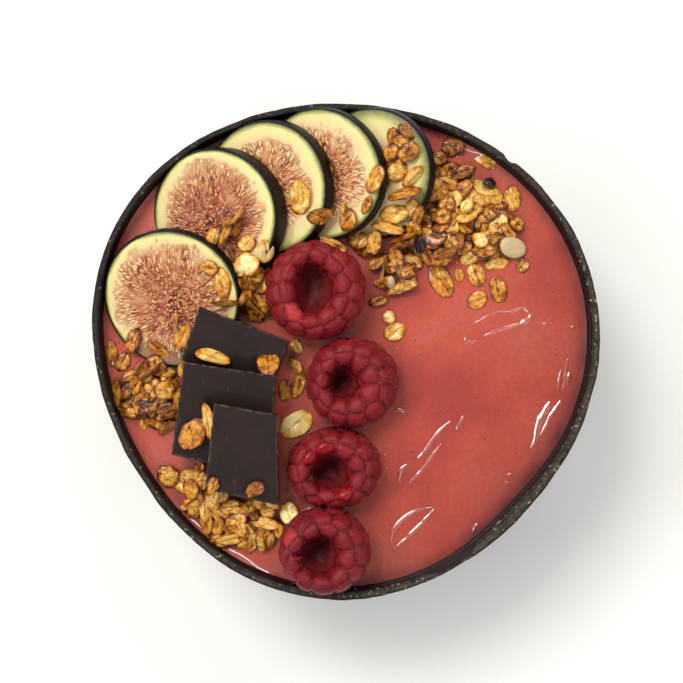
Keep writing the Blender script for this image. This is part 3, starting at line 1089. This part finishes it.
def drupelets(number, draw):
    """Middles, tones and wetness of a berry's drupelets, measured from its crown."""
    turn = math.radians(RASPBERRIES[number][5])
    middles, tones = [], []
    for share, level, more in DRUPELET_ROWS:
        count = BERRY_FIRST[number] + more
        for index in range(count):
            way = 2.0 * math.pi * (index + 0.5 * (more % 2) + draw.uniform(-0.13, 0.13)) / count + turn
            place = berry_spot(number, share + draw.uniform(-0.04, 0.04), way)
            middles.append((*place, level + draw.uniform(-0.3, 0.3)))
            tones.append(BERRY_TONE[number] + draw.uniform(-0.08, 0.08))
    middles, tones, wets = np.array(middles), np.array(tones), np.zeros(len(tones))
    for spots, values, value in ((PALE_DRUPELETS[number], tones, 1.0), (WET_DRUPELETS[number], wets, 0.9)):
        for spot in spots:
            values[np.argmin(np.linalg.norm(middles - np.array([*spot, -1.0]), axis=1))] = value
    return middles, tones, wets


def grid_normals(grid):
    """Unit normals of a grid of rings, which point up at its middle row."""
    around_way = np.roll(grid, -1, axis=1) - np.roll(grid, 1, axis=1)
    normal = np.cross(around_way, np.gradient(grid, axis=0))
    normal /= np.linalg.norm(normal, axis=2)[:, :, None] + 1e-9
    return -normal if normal[len(grid) // 2, :, 2].mean() < 0 else normal


def make_raspberry(number, materials):
    """A raspberry, hollow side up: one skin swollen into drupelets that press on each other."""
    x, y, crown = RASPBERRIES[number][:3]
    draw = random.Random(300 + number)
    angle = around(BERRY_STEPS)
    shares, levels = (values[:, None] for values in berry_profile())
    plan_x, plan_y = berry_spot(number, shares, angle)
    smooth = np.stack([plan_x, plan_y, np.broadcast_to(levels, plan_x.shape)], -1)
    middles, tones, wets = drupelets(number, draw)
    away = np.linalg.norm(smooth[:, :, None, :] - middles, axis=3)
    nearest = np.argsort(away, axis=2)[:, :, :2]
    first_away, second_away = np.moveaxis(np.take_along_axis(away, nearest, 2), 2, 0)
    border = np.clip((second_away - first_away) / 2 / DRUPELET_SHOULDER, 0.0, 1.0)
    deep = np.clip((-levels - HOLLOW_FROM) / 5.0, 0.0, 1.0) * (shares < HOLLOW_SHARE)
    swell = DRUPELET_SWELL * (np.sqrt(1.0 - (1.0 - border) ** 2) - 0.55) * (1.0 - 0.85 * deep)
    rough = 0.05 * soft_noise(smooth[:, :, 0], smooth[:, :, 1], smooth[:, :, 2], 0.8, 310 + number)
    rings = smooth + grid_normals(smooth) * (swell + rough)[:, :, None] + np.array([x, y, crown])
    streaks = deep * noise_round(angle, 9.0, 320, levels / 9.0)
    tone = (tones[nearest[:, :, 0]] - 0.17 * (1.0 - border) ** 2) * (1.0 - 0.8 * deep) + 0.14 * streaks
    piece = Piece()
    piece.add(rings, end_middles(rings), tone=tone, wet=wets[nearest[:, :, 0]])
    add_hairs(piece, number, draw)
    piece.make(f"raspberry_{number + 1}_berry", materials, "raspberry", f"raspberry_{number + 1}")


def add_hairs(piece, number, draw):
    """Fine hairs that stand out of the creases between drupelets."""
    x, y, crown, width, depth, _ = RASPBERRIES[number]
    for _ in range(HAIRS):
        angle = draw.uniform(0.0, 2.0 * math.pi)
        share = draw.uniform(0.45, 1.0)
        root = Vector((x + share * width / 2 * math.cos(angle), y + share * depth / 2 * math.sin(angle),
                       crown - 0.9 - 14.0 * max(0.0, share - 0.6) ** 1.2))
        way = Vector((math.cos(angle + draw.uniform(-0.8, 0.8)), math.sin(angle + draw.uniform(-0.8, 0.8)),
                      draw.uniform(-0.1, 1.0))).normalized()
        long = draw.uniform(*HAIR_LENGTHS)
        side = way.cross(Vector((0.0, 0.0, 1.0))).normalized() * HAIR_WIDTH
        other = way.cross(side).normalized() * HAIR_WIDTH
        ring = [root + side, root - side * 0.5 + other, root - side * 0.5 - other]
        mid = [point + way * long * 0.55 + Vector((0.0, 0.0, 0.12)) for point in ring]
        piece.add([[tuple(point) for point in row] for row in (ring, mid)],
                  (None, tuple(root + way * long)), look=1, tone=0.5, wet=0.0)


def make_chocolate(number, materials):
    """A broken piece with worn edges: rings from its lower face over the edge to its middle."""
    corners, height, tilt, heading = CHOCOLATE[number]
    plan = []
    for start, end in zip(corners, corners[1:] + corners[:1]):
        for step in range(CHOCOLATE_SIDE_STEPS):
            plan.append(np.array(start) + (np.array(end) - np.array(start)) * step / CHOCOLATE_SIDE_STEPS)
    plan = np.array(plan)
    middle = plan.mean(0)
    normal = leaning(0.0, 0.0, 0.0, tilt, heading) @ Vector((0.0, 0.0, 1.0))
    away = (plan - middle) / np.linalg.norm(plan - middle, axis=1)[:, None]
    worn = soft_noise(plan[:, 0], plan[:, 1], 0.0, 2.6, 90 + number)
    chips = np.maximum(0.0, soft_noise(plan[:, 0], plan[:, 1], 0.0, 1.1, 95 + number) - 0.3)
    place = (*corners[0], height)
    rings, edges = [], []
    for inset, sink, edge in CHOCOLATE_RINGS:
        rough = (0.07 * worn + 0.2 * chips) * (edge > 0.05)
        spots = plan - away * (inset + rough[:, None])
        top = plane_height(spots[:, 0], spots[:, 1], place, tilt, heading) - sink / normal.z
        rings.append(np.stack([spots[:, 0], spots[:, 1], top], -1))
        edges.append(np.full(len(plan), edge))
    piece = Piece()
    low = plane_height(middle[0], middle[1], place, tilt, heading)
    piece.add(rings, ((middle[0], middle[1], low - CHOCOLATE_THICKNESS / normal.z),
                      (middle[0], middle[1], low)), edge=np.array(edges))
    made = piece.make(f"chocolate_slab_{number + 1}", materials, "chocolate", f"chocolate_{number + 1}")
    made.data.set_sharp_from_angle(angle=math.radians(SHARP_ANGLE))


class Landscape:
    """The height of what lies at each place of the plan."""

    def __init__(self):
        count = int(2 * MAP_REACH / MAP_STEP) + 1
        line = np.linspace(-MAP_REACH, MAP_REACH, count)
        self.x, self.y = np.meshgrid(line, line, indexing="ij")
        self.height = smoothie_height(self.x, self.y)

    def raise_to(self, height, where):
        self.height = np.where(where & (height > self.height), height, self.height)

    def add_figs(self):
        for x, y, z, radius, _, tilt, heading in FIG_SLICES:
            along, across = seen_from(self.x, self.y, x, y, heading)
            slope = math.radians(tilt)
            inside = (along / math.cos(slope)) ** 2 + across ** 2 < radius ** 2
            self.raise_to(z + along * math.tan(slope), inside)

    def add_raspberries(self):
        for berry in RASPBERRIES:
            reach = berry_reach(self.x, self.y, berry)
            fall = np.clip((reach - 0.6) / 0.4, 0.0, 1.0)
            self.raise_to(berry[2] - 9.0 * fall ** 2, reach < 1.0)

    def add_chocolate(self):
        for corners, height, tilt, heading in CHOCOLATE:
            inside = np.ones(self.x.shape, dtype=bool)
            for start, end in zip(corners, corners[1:] + corners[:1]):
                run = (end[0] - start[0], end[1] - start[1])
                inside &= run[0] * (self.y - start[1]) < run[1] * (self.x - start[0])
            self.raise_to(plane_height(self.x, self.y, (*corners[0], height), tilt, heading), inside)

    def add_mounds(self):
        for rows in HEAPS.values():
            for x, y, length, width, heading, height in rows:
                along, across = seen_from(self.x, self.y, x, y, heading)
                dome = 1.0 - (along / length) ** 2 - (across / width) ** 2
                self.raise_to(LEVEL + height * np.sqrt(np.clip(dome, 0.0, 1.0)), dome > 0.0)

    def at(self, x, y):
        last = self.x.shape[0] - 1
        column, row = (limit(int(round((place + MAP_REACH) / MAP_STEP)), 0, last) for place in (x, y))
        return self.height[column, row]

    def rest(self, x, y, length, width, heading):
        """Height and slopes under a flake that comes down at x, y."""
        way = math.radians(heading)

        def under(along, across):
            return self.at(x + along * math.cos(way) - across * math.sin(way),
                           y + along * math.sin(way) + across * math.cos(way))

        ends = [under(side * FLAKE_REST * length, 0.0) for side in (-1, 1)]
        sides = [under(0.0, side * FLAKE_REST * width) for side in (-1, 1)]
        steepest = math.radians(STEEPEST_REST)
        pitch = math.atan2(ends[1] - ends[0], 2 * FLAKE_REST * length)
        roll = math.atan2(sides[1] - sides[0], 2 * FLAKE_REST * width)
        highest = sorted([under(0.0, 0.0)] + ends + sides)[-3:]
        return sum(highest) / 3.0, limit(pitch, -steepest, steepest), limit(roll, -steepest, steepest)

    def cover(self, x, y, length, width, heading, top):
        along, across = seen_from(self.x, self.y, x, y, heading)
        self.raise_to(top, (2 * along / length) ** 2 + (2 * across / width) ** 2 < FLAKE_COVER)


def flake_rings(length, width, kind, draw):
    """A rolled oat: a thin crumpled leaf with a crease along it and curled edges.

    Returns its rings, how deep each point lies in a crease, and its own
    coordinates, which the look's fibres follow.
    """
    angle = around(FLAKE_STEPS)
    seed = draw.randrange(10000)
    thickness, crumple, groove, ragged, _ = FLAKE_KINDS[kind]
    groove = groove * draw.uniform(0.2, 1.4)
    curl = draw.uniform(-0.5, 0.7) if kind in (FLAT, EDGE) else 0.0
    bend = draw.uniform(-0.4, 0.4)
    outline = 1.0 + ragged * noise_round(angle, 1.6, seed, seed * 0.37) \
        + 0.5 * ragged * noise_round(angle, 5, seed, seed * 0.21)
    share, side = FLAKE_RINGS[:, :1], FLAKE_RINGS[:, 1:]
    x = share * outline * np.cos(angle)
    y = share * outline * np.sin(angle)
    dome = (1.0 - share ** 3.0) ** 0.5 * thickness / 2
    line = np.exp(-((y - 0.14 * math.sin(seed) * np.sin(2.4 * x)) / 0.10) ** 2) * (1.0 - 0.6 * np.abs(x))
    broad = soft_noise(x * length / 2.2, y * width / 2.2, 0.0, 1.0, seed + 5)
    small = soft_noise(x * length / 1.1, y * width / 0.6, 4.0, 1.0, seed + 6)
    ripple = crumple * (broad + 0.5 * small)
    shape = curl * (y * y - 0.3) + bend * (x * x - 0.3)
    z = side * dome + shape + ripple - np.where(side > 0, groove * line, 0.0)
    crease = np.clip(0.12 + 3.2 * groove * line - 0.3 * broad - 0.3 * small + 0.9 * share ** 6, 0.0, 1.0)
    return np.stack([x * length / 2, y * width / 2, z], -1), crease, x, y


def lay_flake(piece, row, land, draw, centre):
    """A flake comes to rest on the landscape, which it then raises."""
    x, y, length, width, heading, kind, tone = row
    base, _, _ = land.rest(x, y, length, width, heading)
    nearer = READ_SHARE * (CAMERA_RISE - (base - RIM_HEIGHT)) / CAMERA_RISE
    x = centre[0] + (x - centre[0]) * nearer
    y = centre[1] + (y - centre[1]) * nearer
    base, pitch, roll = land.rest(x, y, length, width, heading)
    thickness, *_, shown_kind = FLAKE_KINDS[kind]
    rise = thickness / 2 - FLAKE_SINK
    if kind == EDGE:
        roll += math.radians(EDGE_LEAN) * draw.choice((-1, 1))
        width = max(width, EDGE_WIDTH)
        rise = EDGE_RISE * width
    elif base > LEVEL + TOSS_FROM:
        pitch += math.radians(draw.uniform(-FLAKE_TOSS, FLAKE_TOSS))
        roll += math.radians(draw.uniform(-FLAKE_TOSS, FLAKE_TOSS))
    place = laid(x, y, base + rise, heading) \
        @ Matrix.Rotation(-pitch, 4, "Y") @ Matrix.Rotation(roll, 4, "X")
    rings, creases, along, across = flake_rings(length, width, kind, draw)
    rings = placed(rings, place)
    shade = limit(tone + draw.uniform(-0.08, 0.08), 0.0, 1.0)
    piece.add(rings, end_middles(rings), tone=shade, crease=creases, along=along,
              across=across, mark=draw.uniform(0.0, 50.0), kind=shown_kind)
    land.cover(x, y, length, width, heading, base + rise + thickness * 0.3)


def fillers(rows, named, draw):
    """More flakes for the bare places of the mounds, under the named ones."""
    found = []
    for x, y, length, width, heading, _ in rows:
        place = laid(x, y, 0.0, heading)
        for _ in range(FILL_TRIES):
            share = 1.08 * math.sqrt(draw.random())
            way = draw.uniform(0.0, 2.0 * math.pi)
            spot = place @ Vector((share * length * math.cos(way), share * width * math.sin(way), 0))
            if all(math.hypot(spot.x - row[0], spot.y - row[1]) > clear
                   for others, clear in ((found, FILL_SPACING), (named, FILL_CLEAR)) for row in others):
                long = draw.uniform(4.6, 7.4)
                found.append((spot.x, spot.y, long, long * draw.uniform(0.5, 0.8), draw.uniform(0, 180),
                              draw.choice((FLAT, FLAT, BIT, BIT)), draw.uniform(0.3, 0.85)))
    return found


def add_mound(piece, row, seed):
    """The bed of small crumbs under a heap."""
    x, y, length, width, heading, height = row
    place = laid(x, y, LEVEL, heading)
    angle = around(MOUND_STEPS)
    rings = [np.stack([length * MOUND_FOOT * np.cos(angle), width * MOUND_FOOT * np.sin(angle),
                       np.full(MOUND_STEPS, -MOUND_SINK)], -1)]
    for share in np.linspace(1.0, 0.06, MOUND_ROWS):
        plan_x, plan_y = length * share * np.cos(angle), width * share * np.sin(angle)
        bumps = 0.35 * soft_noise(plan_x, plan_y, 0.0, 1.5, seed) \
            + 0.15 * soft_noise(plan_x, plan_y, 0.0, 0.6, seed)
        dome = height * math.sqrt(1.0 - min(share, 0.999) ** 2) - 0.25
        rings.append(np.stack([plan_x, plan_y, dome + bumps], -1))
    rings = placed(np.array(rings), place)
    piece.add(rings, end_middles(rings), look=1, tone=0.6, crease=0.3, along=0.0,
              across=0.0, mark=0.0, kind=0.0)


def make_granola(centre):
    """The flakes of all heaps, then those on the chocolate; centre is where the camera looks."""
    land = Landscape()
    land.add_mounds()
    land.add_figs()
    land.add_chocolate()
    land.add_raspberries()
    draw = random.Random(4)
    oat, crumb = oat_look(), crumb_look()
    for number, (name, rows) in enumerate(HEAPS.items()):
        piece = Piece()
        for row in rows:
            add_mound(piece, row, 100 + number)
        named, syrup = HEAP_FLAKES[name]
        for *flake, tone in fillers(rows, named, draw) + list(named):
            lay_flake(piece, (*flake, tone + syrup), land, draw, centre)
        piece.make(f"{name}_flakes", [oat, crumb], "granola", name)
    piece = Piece()
    for flake in CHOCOLATE_FLAKES:
        lay_flake(piece, flake, land, draw, centre)
    piece.make("chocolate_flakes", [oat], "granola")


# Setting

def make_floor():
    mesh = bpy.data.meshes.new("floor")
    corners = [(x * FLOOR_REACH, y * FLOOR_REACH, 0.0) for x, y in ((-1, -1), (1, -1), (1, 1), (-1, 1))]
    mesh.from_pydata(corners, [], [(0, 1, 2, 3)])
    mesh.materials.append(floor_look())
    new_object("floor", mesh)


def add_light(name, place, width, height, power, colour):
    """A soft panel that faces the bowl."""
    data = bpy.data.lights.new(name, "AREA")
    data.shape = "RECTANGLE"
    data.size = width
    data.size_y = height
    data.energy = power
    data.color = colour
    light = new_object(name, data)
    light.location = place
    target = Vector((0.0, 0.0, RIM_HEIGHT * MM))
    light.rotation_euler = (target - Vector(place)).to_track_quat("-Z", "Y").to_euler()


def light_room():
    """Soft light from all sides, dimmer overhead, where the camera is held."""
    world = bpy.data.worlds.new("room")
    world.use_nodes = True
    nodes, links = world.node_tree.nodes, world.node_tree.links
    split = nodes.new("ShaderNodeSeparateXYZ")
    links.new(nodes.new("ShaderNodeTexCoord").outputs["Generated"], split.inputs["Vector"])
    ramp = nodes.new("ShaderNodeValToRGB")
    links.new(split.outputs["Z"], ramp.inputs["Fac"])
    for rise, _ in ROOM_LIGHT[1:-1]:
        ramp.color_ramp.elements.new(rise)
    for element, (rise, strength) in zip(ramp.color_ramp.elements, ROOM_LIGHT):
        element.position = rise
        element.color = (*(part * strength for part in ROOM_TINT), 1.0)
    links.new(ramp.outputs["Color"], nodes["Background"].inputs["Color"])
    bpy.context.scene.world = world


def make_camera():
    """The camera looks straight down; its axis meets the photo's middle."""
    centre = ((PHOTO_WIDTH / 2 - BOWL_PIXEL[0]) * PIXEL, (BOWL_PIXEL[1] - PHOTO_WIDTH / 2) * PIXEL)
    data = bpy.data.cameras.new("camera")
    data.sensor_fit = "HORIZONTAL"
    data.angle = 2.0 * math.atan(PHOTO_WIDTH * PIXEL / 2 / CAMERA_RISE)
    camera = new_object("camera", data)
    camera.location = (centre[0] * MM, centre[1] * MM, (RIM_HEIGHT + CAMERA_RISE) * MM)
    bpy.context.scene.camera = camera
    return centre


# The scene

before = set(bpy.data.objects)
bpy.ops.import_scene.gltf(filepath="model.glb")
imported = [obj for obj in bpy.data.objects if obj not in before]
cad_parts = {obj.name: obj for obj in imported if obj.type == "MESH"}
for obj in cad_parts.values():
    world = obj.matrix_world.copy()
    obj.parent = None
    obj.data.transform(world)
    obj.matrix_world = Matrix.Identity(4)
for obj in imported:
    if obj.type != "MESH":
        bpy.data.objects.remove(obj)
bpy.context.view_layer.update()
bpy.context.scene.view_settings.view_transform = "Standard"

optical_axis = make_camera()
light_room()
for panel in LIGHTS:
    add_light(*panel)
make_floor()
make_bowl()
make_smoothie()
for make, rows, looks in ((make_fig, FIG_SLICES, [fig_look(), fig_seed_look()]),
                          (make_raspberry, RASPBERRIES, [raspberry_look(), hair_look()]),
                          (make_chocolate, CHOCOLATE, [chocolate_look()])):
    for number in range(len(rows)):
        make(number, looks)
make_granola(optical_axis)
